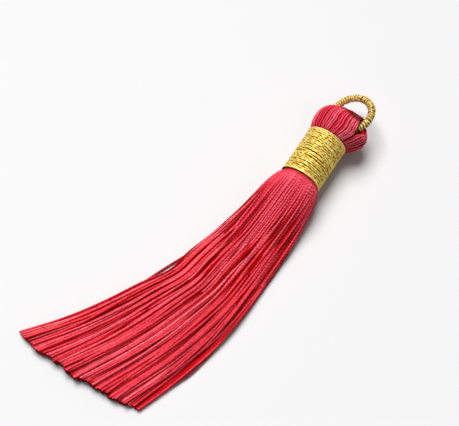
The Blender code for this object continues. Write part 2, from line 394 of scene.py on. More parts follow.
def redThreadMaterial(name, finish):
    material, tree, shader = newMaterial(name, finish)
    uv, around, twist = threadPlaces(tree)
    ply = twistedPlies(tree, around, twist, finish["plyPitch"])
    fading = calculate(tree, "DIVIDE", twist, finish["fades"])
    opened = calculate(tree, "MINIMUM", fading, finish["opens"])
    tight = calculate(tree, "SUBTRACT", 1.0, opened)
    tone = addNode(tree, "ShaderNodeAttribute", attribute_name="tone").outputs["Fac"]
    tones = (finish["dark"], finish["middle"], finish["middle"], finish["light"])
    colour = colourRamp(tree, tone, list(zip(finish["toneStops"], tones)))
    place = addNode(tree, "ShaderNodeTexCoord").outputs["Object"]
    slow = cloudNoise(tree, place, finish["driftScale"])
    colour = darken(tree, colour, slow, finish, "drift")
    fine = cloudNoise(tree, place, finish["grainScale"], detail=3.0, roughness=0.65)
    colour = darken(tree, colour, fine, finish, "grain")
    # painted shade at each thread's sides, with its share from the neck on
    atNeck, further = finish["sideShare"]
    change = (further - atNeck) / finish["opens"]
    sideShare = calculate(tree, "MULTIPLY_ADD", opened, change, atNeck)
    colour = darken(tree, colour, facingOut(tree, around), finish, "side", sideShare)
    # painted shade between the plies, while they are tight
    creaseShare = calculate(tree, "MULTIPLY", tight, finish["creaseShare"])
    colour = darken(tree, colour, ply, finish, "crease", creaseShare)
    # fine filaments along the thread, that lean with its twist
    along = stretched(tree, uv, finish["streakScale"], finish["streakLean"])
    filaments = cloudNoise(tree, along, 1.0, detail=3.0)
    colour = darken(tree, colour, filaments, finish, "streak")
    # painted shade from the mesh's attribute
    tucked = addNode(tree, "ShaderNodeAttribute", attribute_name="tucked").outputs["Fac"]
    colour = multiplyColour(tree, tucked, colour, finish["tucked"])
    putIn(tree, shader.inputs["Base Color"], colour)
    plies = calculate(tree, "MULTIPLY", ply, tight)
    height = calculate(tree, "MULTIPLY_ADD", filaments, finish["streakHeight"], plies)
    addBump(tree, shader, height, finish["plyDepth"])
    shader.inputs["Sheen Weight"].default_value = finish["sheen"]
    shader.inputs["Sheen Roughness"].default_value = finish["sheenRoughness"]
    shader.inputs["Sheen Tint"].default_value = finish["sheenTint"]
    return material


# the cut ends: cut fibres are darker, and nearly black here as painted shade on the cut faces
cutFinish = {
    "dark": (0.012, 0.0, 0.001, 1),
    "light": (0.06, 0.0, 0.003, 1),
    "scale": 9000.0,
    "stops": (0.4, 0.6),
    "depth": 0.05,  # mm
    "roughness": 0.8,
    "shine": 0.05,
}
# painted shade: the dark brown that shows between and under the gold turns
coreFinish = {
    "dark": (0.10, 0.045, 0.006, 1),
    "light": (0.20, 0.10, 0.02, 1),
    "scale": 5000.0,
    "stops": (0.4, 0.65),
    "depth": 0.05,  # mm
    "roughness": 0.7,
    "shine": 0.5,
}


def fibreMaterial(name, finish):
    # for the threads' cut ends, and for the core under the gold threads, both dark with painted
    # shade
    material, tree, shader = newMaterial(name, finish)
    place = addNode(tree, "ShaderNodeTexCoord").outputs["Object"]
    fibres = cloudNoise(tree, place, finish["scale"])
    colours = (finish["dark"], finish["light"])
    colour = colourRamp(tree, fibres, list(zip(finish["stops"], colours)))
    putIn(tree, shader.inputs["Base Color"], colour)
    addBump(tree, shader, fibres, finish["depth"])
    return material


goldFinish = {
    "bright": (1.0, 0.92, 0.44, 1),
    "middle": (0.98, 0.71, 0.13, 1),
    "dark": (0.48, 0.23, 0.0, 1),
    "foilStops": (0.38, 0.46, 0.54, 0.64),  # dark, middle, middle, bright
    "foilScale": (1.8, 1.1, 1.0),  # round the thread, and along it
    "side": (0.12, 0.040, 0.0, 1),  # painted shade, times the colour, where a thread turns in, between the turns
    "sideStops": (0.48, 0.92),
    "betweenDashes": (0.2, 0.2, 0.2, 1),  # the share of that painted shade between its dashes
    "dashStops": (0.43, 0.56),
    "dashScale": (0.7, 0.9, 1.0),
    "crease": (0.25, 0.12, 0.02, 1),  # painted shade between the plies
    "creaseStops": (0.04, 0.36),
    "creaseShare": 0.25,
    "roughness": 0.46,
    "shine": 0.03,
    "metal": 0.3,
    "flakes": 3600.0,  # how fine the glitter is
    "flakeHeight": 0.35,  # against the foil
    "depth": 0.06,  # mm
}
rimFinish = {
    **goldFinish,
    "dark": (0.70, 0.46, 0.10, 1),
    "middle": (0.95, 0.72, 0.24, 1),
    "creaseShare": 0.1,
}
ringFinish = {
    **goldFinish,
    "bright": (1.0, 0.88, 0.46, 1),
    "middle": (0.85, 0.60, 0.16, 1),
    # lighter painted shade between the wraps
    "side": (0.17, 0.065, 0.006, 1),
    "creaseShare": 0.35,
    "foilScale": (2.0, 2.0, 1.0),
}
plyPitch = {"binding": 1.3, "ring": 1.1}  # mm of gold thread from one ply to the next


def goldThreadMaterial(name, finish, pitch):
    material, tree, shader = newMaterial(name, finish)
    uv, around, twist = threadPlaces(tree)
    foil = cloudNoise(tree, stretched(tree, uv, finish["foilScale"]), 1.0, roughness=0.6)
    colours = (finish["dark"], finish["middle"], finish["middle"], finish["bright"])
    colour = colourRamp(tree, foil, list(zip(finish["foilStops"], colours)))
    broken = cloudNoise(tree, stretched(tree, uv, finish["dashScale"]), 1.0)
    low, high = finish["dashStops"]
    dashes = colourRamp(tree, broken, [(low, finish["betweenDashes"]), (high, (1, 1, 1, 1))])
    # painted shade at the threads' sides, in dashes, and between the plies
    colour = darken(tree, colour, facingOut(tree, around), finish, "side", dashes)
    ply = twistedPlies(tree, around, twist, pitch)
    colour = darken(tree, colour, ply, finish, "crease")
    putIn(tree, shader.inputs["Base Color"], colour)
    place = addNode(tree, "ShaderNodeTexCoord").outputs["Object"]
    glitter = cloudNoise(tree, place, finish["flakes"], detail=1.0)
    height = calculate(tree, "MULTIPLY_ADD", glitter, finish["flakeHeight"], foil)
    addBump(tree, shader, height, finish["depth"])
    return material


skirtRed = redThreadMaterial("redSkirtThread", redFinish)
neckRed = redThreadMaterial("redNeckThread", neckFinish)
headRed = redThreadMaterial("redHeadThread", headFinish)
cutRed = fibreMaterial("redCutEnds", cutFinish)
goldCore = fibreMaterial("goldThreadCore", coreFinish)
bindingGold = goldThreadMaterial("bindingGoldThread", goldFinish, plyPitch["binding"])
rimGold = goldThreadMaterial("rimGoldThread", rimFinish, plyPitch["binding"])
ringGold = goldThreadMaterial("ringGoldThread", ringFinish, plyPitch["ring"])
print("materials made")


# Skirt

skirt = {
    "threads": 300,
    "radius": 0.25,
    "boundRadius": 0.215,  # under the binding
    "boundFor": 2.5,  # mm below it until they are full again
    "fuller": (0.065, 0.02),  # mm drawn thicker, at the neck and at the cut end
    "inset": 0.2,  # mm
    "thinnest": 0.5,  # mm high
    "stations": 64,
    "evenShare": 0.35,  # the rest are closer at the neck
    "stationBend": 1.5,
    "sides": 8,
    "uneven": 0.07,
    "groups": 13,  # the larger bunches at the cut end
    "locks": 44,  # the smaller bunches in them
    "dome": 0.55,  # mm a bunch is higher in its middle
    "wander": 0.042,  # mm a thread strays sideways
    "waves": (25, 60),  # mm long
    "creaseShaded": 0.24,  # share of the threads with painted shade midway, as if in a crease
    "tuckedTo": (-1.15, 0.5),  # mm along, over: painted shade beside the binding
    "sideways": 1.1,  # how far the threads at its sides face out sideways
}
edgeStrand = {
    # threads that stand off from the left edge, so that the table shows through
    "count": 3,
    "from": -22.0,
    "to": -43.5,
    "out": 0.60,
    "closer": 0.11,  # mm, each next one
    "inside": 0.45,  # mm inside the edge at both ends
    "height": (0.2, 0.16),  # mm, of the first, and more for each next one
    # painted shade on these threads
    "tucked": 0.3,
    "dent": 1.45,  # mm the skirt stands back there
    "dentAt": -32.7,
    "dentHalf": 3.6,
    "radius": 0.16,
    "points": 40,
}
cutTable = [
    # u, mm longer, mm the lowest threads run on beyond the top ones
    (-1.0, -0.90, 0.00),
    (-0.85, 0.20, -0.15),
    (-0.7, 0.45, -0.25),
    (-0.55, 1.10, -0.22),
    (-0.4, 0.70, -0.20),
    (0.0, 1.36, 0.00),
    (0.4, 1.58, 0.36),
    (0.7, 1.28, 0.46),
    (1.0, 1.00, 0.00),
]
skirtTable = [
    # along, left, right, underside, undersideRound, crown, crownRound
    (0.70, -4.45, 3.95, 0.50, 4.20, 8.95, 4.20),
    (0.10, -4.55, 4.05, 0.42, 4.30, 9.10, 4.30),
    (-0.40, -4.80, 4.30, 0.30, 4.40, 9.22, 4.40),
    (-0.95, -5.15, 4.80, 0.20, 4.50, 9.50, 4.55),
    (-1.80, -5.85, 5.15, 0.10, 4.40, 9.50, 4.60),
    (-5.50, -7.35, 5.60, 0.00, 3.30, 8.65, 4.60),
    (-12.0, -9.15, 5.75, 0.00, 1.30, 7.35, 4.60),
    (-20.0, -11.50, 5.50, 0.00, 0.30, 6.15, 4.20),
    (-30.0, -15.30, 4.90, 0.00, 0.00, 5.00, 3.60),
    (-41.0, -20.65, 3.65, 0.00, 0.00, 4.20, 3.10),
    (-52.0, -27.75, 0.45, 0.00, 0.00, 3.75, 2.60),
    (-62.0, -36.45, -3.50, 0.00, 0.00, 3.40, 2.40),
]


def skirtSection(along):
    # the skirt's section at one place along it
    left, right, under, underRound, crown, crownRound = (
        float(tableValue(skirtTable, along, column)) for column in range(1, 7)
    )
    offDent = (along - edgeStrand["dentAt"]) / edgeStrand["dentHalf"]
    left += edgeStrand["dent"] * math.exp(-(offDent**2))
    return {
        "middle": (left + right) / 2,
        "half": (right - left) / 2,
        "under": max(under, 0.0),
        "underRound": max(underRound, 0.0),
        "crown": crown,
        "crownRound": crownRound,
    }


def heights(section, u):
    bow = 1 - np.sqrt(np.clip(1 - u**2, 0, 1))
    low = section["under"] + section["underRound"] * bow
    high = section["crown"] - section["crownRound"] * bow
    return low, np.maximum(high, low + skirt["thinnest"])


def squeezedRadius(along):
    squeeze = fade(along, -skirt["boundFor"], skirt["boundFor"])
    return skirt["radius"] + (skirt["boundRadius"] - skirt["radius"]) * squeeze


settling = {
    "rounds": (60, 16),  # at the first station, and at the others
    "push": 0.3,  # of an overlap, between two threads in one round
    "pushOff": 0.6,  # and beside a parting
    "back": 0.06,  # of the way back to its own place
    "fall": 0.006,  # mm
}


def pushFrom(x, z, others, radius, share):
    # the others' columns are x, z and radius
    dx = x[:, None] - others[None, :, 0]
    dz = z[:, None] - others[None, :, 1]
    apart = np.sqrt(dx**2 + dz**2) + 1e-6
    overlap = np.clip(radius + others[None, :, 2] - apart, 0, None)
    push = share * overlap / apart
    return x + (push * dx).sum(1), z + (push * dz).sum(1)


def pushApart(x, z, radius, partings, section, wanted, lock, rounds):
    # threads lie on each other and beside the partings, inside the skirt's outline
    for _ in range(rounds):
        threads = np.stack([x, z, np.full(len(x), radius)], axis=1)
        x, z = pushFrom(x, z, threads, radius, settling["push"])
        x, z = pushFrom(x, z, partings, radius, settling["pushOff"])
        x = x + settling["back"] * (wanted - x)
        z = z - settling["fall"]
        edge = section["half"] - radius
        x = section["middle"] + np.clip(x - section["middle"], -edge, edge)
        low, high = heights(section, (x - section["middle"]) / section["half"])
        off = np.clip(np.abs(x - lock["middle"]) / lock["half"], 0, 1)
        high = high + lock["lift"] - lock["dome"] * off**2
        z = np.clip(z, low + radius, np.maximum(high - radius, low + radius))
    return x, z


bunches = {
    # the least and the most that is drawn for each bunch, group or parting
    "width": (0.5, 1.6),
    "lift": (-0.15, 0.12),  # mm
    "groupLift": (-0.45, 0.25),
    "longer": (-0.25, 0.25),  # mm
    "groupLonger": (-0.5, 0.4),
    "drift": (-0.09, 0.09),  # half widths of the skirt
    "from": (-24, -3),  # mm, where a parting between two bunches starts
    "to": (-110, -45),
    "size": (0.16, 0.32),  # mm, its radius
    "deep": (0.1, 0.4),  # mm
    "groupFrom": (-9, -2),  # the same for one between two groups
    "groupTo": -150.0,
    "groupSize": (0.32, 0.52),
    "groupDeep": (0.4, 0.9),
    "edgeBunches": 5,  # that grow smaller at each edge
}


def fromEdge(count):
    # 0 for the first and the last, then 1, 2 and so on
    return np.minimum(np.arange(count), np.arange(count)[::-1])


def makeLocks():
    # the bunches' places and sizes, as shares of the skirt's half width
    locks, groups = skirt["locks"], skirt["groups"]
    count = locks - 1

    def drawn(key, number):
        return chance.uniform(*bunches[key], number)

    widths = drawn("width", locks)
    starts = np.sort(chance.choice(np.arange(1, locks), groups - 1, replace=False))
    group = np.searchsorted(starts, np.arange(locks), side="right")
    between = group[1:] != group[:-1]  # the partings between two groups
    small = np.clip((fromEdge(count) + 1) / bunches["edgeBunches"], 0, 1)
    return {
        "edges": -1 + 2 * np.concatenate([[0], np.cumsum(widths)]) / widths.sum(),
        "drift": drawn("drift", count),
        "from": np.where(between, drawn("groupFrom", count), drawn("from", count)),
        "to": np.where(between, bunches["groupTo"], drawn("to", count)),
        "size": small * np.where(between, drawn("groupSize", count), drawn("size", count)),
        "deep": np.where(between, drawn("groupDeep", count), drawn("deep", count)),
        "lift": drawn("groupLift", groups)[group] + drawn("lift", locks),
        "longer": drawn("groupLonger", groups)[group] + drawn("longer", locks),
        "edgeShare": np.clip((fromEdge(locks) + 0.5) / bunches["edgeBunches"], 0, 1),
    }


def bunchOf(u, edges):
    return np.clip(np.searchsorted(edges, u) - 1, 0, skirt["locks"] - 1)


parting = {
    "opensIn": 11.0,  # mm
    "closesIn": 16.0,
    "deeper": 0.6,  # mm, its second row below the first
    "deeperSize": 0.8,  # of the first row's size
    "smallest": 0.02,  # mm
    "bunchHalf": 0.25,  # mm, of the narrowest bunch
    "bunches": (-4.0, -15.0),  # mm along, where they start to stand out, over
}
# painted shade in the creases between the bunches and at the skirt's left edge
creases = {
    "from": (-6.0, -8.0),  # mm along, where they turn dark, over
    "until": (-54.0, 24.0),  # where that has ended
    "dark": (0.6, 0.4),  # and more midway
    "right": (0.30, 0.3, 0.5),  # from a bunch's middle, less midway, over
    "left": (0.7, 0.3, 0.5),  # from its middle, over, share of the dark
    "edge": (0.6, 0.25),  # painted shade at the skirt's left edge, in how many mm
    "lightFrom": (0.76, 0.15),  # half widths towards the right edge, over
    "lighter": 0.6,  # how much less painted shade there is there
    "share": (0.66, 0.34),  # of all this on the threads, and more midway
}


def midway(along):
    # 1 in the middle of the skirt's length, where the painted crease shade is darkest
    return fade(along, *creases["from"]) * fade(along, *creases["until"])


def smooth(paths, rounds):
    for _ in range(rounds):
        paths[:, 1:-1] = (paths[:, :-2] + 2 * paths[:, 1:-1] + paths[:, 2:]) / 4


def creaseShade(x, section, lock, mine, opened, deep, along):
    # painted shade: how deep in the crease beside its bunch each thread lies, most at the bunch's
    # right, and at the skirt's left edge
    dark, more = creases["dark"]
    start, less, over = creases["right"]
    crease = np.concatenate([[0], opened * (dark + more * midway(along) + deep), [0]])
    off = (x - lock["middle"]) / lock["half"]
    shade = fade(off + less * midway(along), start, over) * crease[mine + 1]
    start, over, share = creases["left"]
    shade += fade(-off, start, over) * share * crease[mine]
    dark, over = creases["edge"]
    fromLeft = x - section["middle"] + section["half"] - skirt["radius"]
    return shade + dark * fade(fromLeft, over, -over)


cutEnd = {
    "low": (0.45, 1.2),  # mm under its bunch's top, over: a thread that lies low
    "evener": 0.8,  # how much more even the low ones are
    "bend": 4,  # the power that brings it in late
    "stretch": 4,  # stations, that give its direction
}


def bowCutEnd(paths, stations, section, lock, locks, edges):
    # The cut end bows out in the middle, in steps from bunch to bunch. Returns how deep each
    # thread's end lies.
    last = paths[:, -1].copy()
    before = paths[:, -cutEnd["stretch"]].copy()
    u = (last[:, 0] - section["middle"]) / section["half"]
    mine = bunchOf(u, edges)
    depth = fade(heights(section, u)[1] + lock["lift"] - last[:, 2], *cutEnd["low"])
    longer = tableValue(cutTable, u, 1) + (locks["longer"] * locks["edgeShare"])[mine]
    longer += chance.normal(0, skirt["uneven"], len(u)) * (1 - cutEnd["evener"] * depth)
    longer += tableValue(cutTable, u, 2) * depth
    late = fade(stations, stations[0], stations[-1] - stations[0])
    ahead = (last - before) / np.abs(last[:, 1:2] - before[:, 1:2])
    ahead[:, 2] = 0
    paths += (late ** cutEnd["bend"])[None, :, None] * longer[:, None, None] * ahead[:, None, :]
    return depth


def skirtPaths():
    # the threads' places and painted shade at each station, from the neck to the cut end
    count = skirt["threads"]
    first, last = skirtTable[0][0], skirtTable[-1][0]
    share = np.linspace(0, 1, skirt["stations"])
    even = skirt["evenShare"]
    stations = first + (last - first) * (even * share + (1 - even) * share ** skirt["stationBend"])
    spread = np.sqrt((np.arange(count) + 0.5) / count)
    golden = np.arange(count) * math.pi * (3 - math.sqrt(5))
    section = skirtSection(first)
    out = (section["half"] - skirt["inset"]) * spread
    x = section["middle"] + out * np.cos(golden)
    z = (section["under"] + section["crown"]) / 2 + out * np.sin(golden)
    locks = makeLocks()
    waves = chance.uniform(0, 2 * np.pi, count)
    lengths = chance.uniform(*skirt["waves"], count)

    paths = np.empty((count, len(stations), 3))
    shade = np.empty((count, len(stations)))
    nearRight = np.empty((count, len(stations)))
    before = section
    for k, along in enumerate(stations):
        # each thread keeps its place in the section, and strays a little
        section = skirtSection(along)
        u = np.clip((x - before["middle"]) / before["half"], -1, 1)
        lowBefore, highBefore = heights(before, u)
        w = (z - lowBefore) / (highBefore - lowBefore)
        stray = skirt["wander"] * fade(along, 0, -14) * np.sin(waves - 2 * np.pi * along / lengths)
        wanted = section["middle"] + u * section["half"] + stray
        low, high = heights(section, u)
        x, z = wanted, low + w * (high - low)

        # the partings: two rows of round places that the threads keep clear of
        opened = fade(along, locks["from"], -parting["opensIn"])
        opened = opened * fade(along, locks["to"], parting["closesIn"])
        edges = locks["edges"].copy()
        edges[1:-1] += locks["drift"] * np.sin(math.pi * along / last)
        edges = np.sort(edges)
        lineX = section["middle"] + edges[1:-1] * section["half"]
        lineTop = heights(section, edges[1:-1])[1]
        size = locks["size"] * opened
        upper = np.stack([lineX, lineTop - locks["deep"] * opened, size], axis=1)
        lowerZ = lineTop - (locks["deep"] + parting["deeper"]) * opened
        lower = np.stack([lineX, lowerZ, parting["deeperSize"] * size], axis=1)
        wide = size > parting["smallest"]
        mine = bunchOf(u, edges)
        half = (edges[mine + 1] - edges[mine]) / 2 * section["half"]
        grown = fade(along, *parting["bunches"])
        lock = {
            "middle": section["middle"] + (edges[mine] + edges[mine + 1]) / 2 * section["half"],
            "half": np.maximum(half, parting["bunchHalf"]),
            "lift": locks["lift"][mine] * grown,
            "dome": skirt["dome"] * grown,
        }
        x, z = pushApart(
            x, z, squeezedRadius(along), np.concatenate([upper[wide], lower[wide]]),
            section, wanted, lock, settling["rounds"][min(k, 1)],
        )
        paths[:, k] = acrossSkirt(x, along, z)
        shade[:, k] = creaseShade(x, section, lock, mine, opened, locks["deep"], along)
        nearRight[:, k] = fade((x - section["middle"]) / section["half"], *creases["lightFrom"])
        before = section
    smooth(paths, 3)
    depth = bowCutEnd(paths, stations, section, lock, locks, edges)
    # painted shade on the ends of the threads that lie low
    shade[:, -1] = np.maximum(shade[:, -1], depth)
    # painted shade midway on a share of the threads, as if in creases
    creaseShaded = np.random.default_rng(12).random(count) < skirt["creaseShaded"]
    shade = np.maximum(shade, creaseShaded[:, None] * midway(stations))
    shade = shade * (1 - creases["lighter"] * nearRight)
    return paths, stations, np.clip(shade, 0, 1)


overThreads = {
    "count": 40,
    "across": (-0.86, 0.9),  # the first and the last, in half widths
    "within": (-0.88, 0.965),  # where they may lie
    "uneven": 0.03,
    "drift": 0.26,  # how far one strays, in half widths
    "start": (-26.0, -3.0),  # mm, where one comes up between the others
    "rise": (1.1, 6),  # mm it comes up, in how many mm
    "reach": 0.4,  # mm to the threads that hold it up
    "sink": 0.2,  # mm
    "bare": 0.3,  # mm, lower than any thread on top: it lies that far inside the outline there
    "creaseShaded": 0.34,  # share with painted shade midway, as if in a crease
}


def overPaths(under, stations):
    # threads that lie across the others, on top
    count = overThreads["count"]
    startU = np.linspace(*overThreads["across"], count)
    startU = startU + chance.uniform(-1, 1, count) * overThreads["uneven"]
    drift = chance.uniform(-1, 1, count) * overThreads["drift"]
    begin = chance.uniform(*overThreads["start"], count)
    rise, riseIn = overThreads["rise"]
    paths = np.empty((count, len(stations), 3))
    for k, along in enumerate(stations):
        section = skirtSection(along)
        run = fade(along, begin, stations[-1] - begin)
        u = np.clip(startU + drift * (run - 0.5), *overThreads["within"])
        x = section["middle"] + u * (section["half"] - skirt["radius"])
        near = np.abs(under[None, :, k, 0] - x[:, None]) < overThreads["reach"]
        top = np.where(near, under[None, :, k, 2], 0.0).max(1)
        bare = overThreads["bare"]
        top = np.where(top < bare, heights(section, u)[1] - bare, top)
        z = top + 2 * skirt["radius"] - overThreads["sink"]
        z = z - rise * fade(along, begin - riseIn, riseIn)
        paths[:, k] = acrossSkirt(x, along, z)
    smooth(paths, 6)
    nearest = np.abs(under[None, :, -1, 0] - paths[:, -1, None, 0]).argmin(1)
    paths[:, :, 1] = under[nearest, :, 1]
    return paths


neckThreads = {
    "count": 76,
    "radius": 0.215,
    "end": -26.0,  # mm, well inside the skirt by then
    "stations": 36,
    "begin": (1.5, 6.5),  # mm from the neck
    "uneven": 0.02,  # radians
    "sink": 0.12,  # mm deeper for each mm along
    "sinks": (0.6, 1.5),  # times that, drawn for each thread
    "edgeSink": 0.02,  # for three at each edge
    "under": 0.02,  # mm inside the outline
    "creaseShaded": 0.34,  # share with painted shade, as if in a crease
    "unshaded": 9,  # at the right edge, without that painted shade
    "creaseFrom": (-2.5, -8.0),  # mm along, over
    "darkest": 0.9,
}


def neckPaths():
    # the fine surface by the neck: threads that sink in between the others
    count = neckThreads["count"]
    angle = np.linspace(-0.5 * np.pi, 0.5 * np.pi, count)
    angle = angle + chance.uniform(-1, 1, count) * neckThreads["uneven"]
    stations = np.linspace(skirtTable[0][0], neckThreads["end"], neckThreads["stations"])
    sink = neckThreads["sink"] * chance.uniform(*neckThreads["sinks"], count)
    sink[[0, 1, 2, -3, -2, -1]] = neckThreads["edgeSink"]
    begin = chance.uniform(*neckThreads["begin"], count)
    radius = neckThreads["radius"]
    paths = np.empty((count, len(stations), 3))
    for k, along in enumerate(stations):
        section = skirtSection(along)
        low, high = heights(section, np.sin(angle))
        deeper = sink * np.maximum(-along - begin, 0) + neckThreads["under"]
        x = section["middle"] + np.sin(angle) * (section["half"] - radius - deeper)
        z = np.maximum(high - radius - deeper * np.cos(angle), low + radius)
        paths[:, k] = acrossSkirt(x, along, z)
    return paths


def neckShade(paths):
    # painted shade: one in every few is darkened as if in a crease, darker away from the neck
    creaseShaded = (np.arange(len(paths)) * goldenShare) % 1 < neckThreads["creaseShaded"]
    creaseShaded[-neckThreads["unshaded"]:] = False
    dark = np.minimum(fade(paths[:, :, 1], *neckThreads["creaseFrom"]), neckThreads["darkest"])
    return creaseShaded[:, None] * dark


looseFibres = {
    "count": 7,
    "radius": 0.05,
    "from": -40.0,
    "to": -58.5,
    "strays": (5, 4),  # mm that their two ends lie apart
    "points": 30,
    "sides": 5,
    "inside": 0.35,  # mm inside the right edge, at the ends
    "out": (0.2, 0.9),  # mm beside that, in their middle
    "height": (0.3, 0.5),  # mm, and more at the end
}


def loosePaths():
    # single filaments that stand off from the right edge near the cut end
    share = np.linspace(0, 1, looseFibres["points"])
    paths = []
    for _ in range(looseFibres["count"]):
        begin = looseFibres["from"] - chance.uniform(0, looseFibres["strays"][0])
        end = looseFibres["to"] + chance.uniform(0, looseFibres["strays"][1])
        out = chance.uniform(*looseFibres["out"])
        along = begin + (end - begin) * share
        right = tableValue(skirtTable, along, 2) - looseFibres["inside"]
        height = looseFibres["height"][0] + looseFibres["height"][1] * share
        paths.append(np.stack([right + out * np.sin(np.pi * share), along, height], axis=1))
    return np.stack(paths)


def edgePaths():
    share = np.linspace(0, 1, edgeStrand["points"])
    along = edgeStrand["from"] + (edgeStrand["to"] - edgeStrand["from"]) * share
    left = tableValue(skirtTable, along, 1) + edgeStrand["inside"]
    lowest, higher = edgeStrand["height"]
    paths = []
    for k in range(edgeStrand["count"]):
        out = (edgeStrand["out"] - edgeStrand["closer"] * k) * np.sin(np.pi * share) ** 1.5
        height = np.full(len(share), lowest + higher * k)
        paths.append(np.stack([left - out, along, height], axis=1))
    return np.stack(paths)


def tuckedIn(stations):
    # painted shade: 1 right under the binding's end, 0 in the open
    return fade(stations, *skirt["tuckedTo"])


def skirtRefs(paths):
    # the side of each thread that faces out of the skirt
    left = paths[:, :, 0].min(0)
    right = paths[:, :, 0].max(0)
    half = np.maximum((right - left) / 2, 0.01)  # the edge strand's ends meet in one point
    u = (paths[:, :, 0] - (left + right) / 2) / half
    return np.stack([skirt["sideways"] * u**3, np.zeros_like(u), np.ones_like(u)], axis=-1)


def redPiece(name, paths, radii, material, sides=skirt["sides"], refs=None, **looks):
    refs = skirtRefs(paths) if refs is None else refs
    piece = threadPiece(name, paths, refs, radii, sides, material, **looks)
    return piece


paths, stations, shade = skirtPaths()
run = (stations - stations[0]) / (stations[-1] - stations[0])
fuller = skirt["fuller"][0] + (skirt["fuller"][1] - skirt["fuller"][0]) * run
radii = squeezedRadius(stations) + fuller
refs = skirtRefs(paths)
order = np.argsort(paths[:, skirt["stations"] // 2, 2])
parts = np.array_split(order, 3)
# the share of the painted shade on the threads, more midway
creaseShare = creases["share"][0] + creases["share"][1] * midway(stations)
creaseShare[-1] = 1.0  # full painted shade on the lower threads' cut ends
for name, picked in zip(("skirtThreadsLow", "skirtThreadsMiddle", "skirtThreadsTop"), parts):
    topPiece = redPiece(
        name, paths[picked], radii[None, :], skirtRed, refs=refs[picked], cutMaterial=cutRed,
        tucked=np.maximum(tuckedIn(stations), creaseShare * shade[picked]),
    )
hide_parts("thread_hank")

over = overPaths(paths, stations)
# painted shade midway on a share of the threads on top
creaseShaded = (np.arange(overThreads["count"]) * goldenShare + 0.5) % 1 < overThreads["creaseShaded"]
redPiece(
    "skirtThreadsOver", over, radii[None, :], skirtRed, cutMaterial=cutRed,
    tucked=creaseShaded[:, None] * midway(stations),
)
fine = neckPaths()
redPiece(
    "skirtThreadsNeck", fine, neckThreads["radius"], neckRed,
    tucked=np.maximum(tuckedIn(fine[:, :, 1]), neckShade(fine)),
)
loose = loosePaths()
redPiece(
    "skirtLooseFibres", loose, looseFibres["radius"], skirtRed,
    looseFibres["sides"], np.broadcast_to([0.0, 0.0, 1.0], loose.shape),
)
redPiece(
    "skirtEdgeStrand", edgePaths(), edgeStrand["radius"], skirtRed, tucked=edgeStrand["tucked"]
)


# Head

head = {
    "loops": 25,  # side by side in one layer
    "layers": (1.0, 0.92, 0.84, 0.75),
    "radius": 0.275,
    "crest": 9.4,
    "crestFalls": 0.185,  # mm lower for each mm to the right
    "tableCrest": 8.55,  # the crest that headTable's heights go with
    "crestMiddle": 1.7,
    "crestHalf": 3.75,
    "crestTurn": 1.35,  # radians to each end, where they lie closer
    "layerFalls": 7.5,  # mm, times how much smaller a layer is
    "bunch": (2, 5),  # two to four threads lie at one height
    "bunchLift": (-0.32, 0.26),  # mm
    "lift": 0.05,  # mm
    "strays": (0.007, 0.03, 0.012),  # in front and behind in shares, across in mm
    "points": (140, 44),  # along each loop, outside and inside
    "sides": 8,
    "plyDepth": 0.045,
    "closer": 0.06,  # how much closer the front's threads are at the right
    "open": (1.0, 3.0),  # mm right and up, what the threads face out from
}
headShade = {
    "tucked": (0.6, -0.4),  # painted shade, from mm above the binding, over
    "front": (4.7, -1.5),  # where the painted shade on the crest ends, over
    "back": (-0.6, 0.8),
    "below": (5.2, 1.0),
    "dark": (0.3, 3.0),  # in the middle, and mm to the right for 1 more
    "limits": (0.25, 0.9),
}
headTable = [
    # height, halfWidth, halfDepth, shift, skew, then degrees to each side before the valley:
    # to the left, to the right in front, to the right at the back
    (-2.00, 3.90, 3.90, 0.00, 0.00, 84.0, 73.0, 97.0),
    (-0.40, 4.05, 4.05, 0.00, 0.00, 84.0, 73.0, 97.0),
    (0.35, 4.40, 4.35, 0.05, 0.00, 84.0, 73.0, 97.0),
    (0.95, 4.95, 4.90, 0.28, 0.12, 83.0, 73.0, 98.0),
    (1.70, 5.50, 5.35, 0.70, 0.35, 81.0, 72.5, 99.0),
    (2.70, 5.90, 5.65, 1.05, 0.60, 79.0, 72.0, 99.0),
    (3.70, 6.05, 5.75, 1.30, 0.80, 77.0, 68.5, 96.0),
    (4.90, 5.90, 5.50, 1.40, 0.90, 76.0, 67.0, 84.0),
    (6.10, 5.40, 4.75, 1.40, 0.80, 75.0, 67.0, 77.0),
    (7.10, 4.75, 3.50, 1.35, 0.50, 75.0, 68.0, 74.0),
    (7.95, 4.15, 2.00, 1.45, 0.20, 75.0, 67.0, 72.0),
]


def headPath(side, share, layer, squash):
    # one face of a loop, from inside the binding up to just under its crest
    height, width, depth, shift, skew, left, rightFront, rightBack = np.array(headTable).T
    if side > 0:
        share = share + head["closer"] * (1 - share**2)
    reach = left if share < 0 else rightFront if side > 0 else rightBack
    phi = share * np.radians(reach)
    height = np.where(height > 0, height * squash, height)
    inside = np.where(height > 0, layer, 0.55 + 0.45 * layer)  # closer together in the binding
    across = inside * width * np.sin(phi) + shift - side * skew * np.cos(phi)
    return np.stack([across, side * inside * depth * np.cos(phi), height], axis=1)


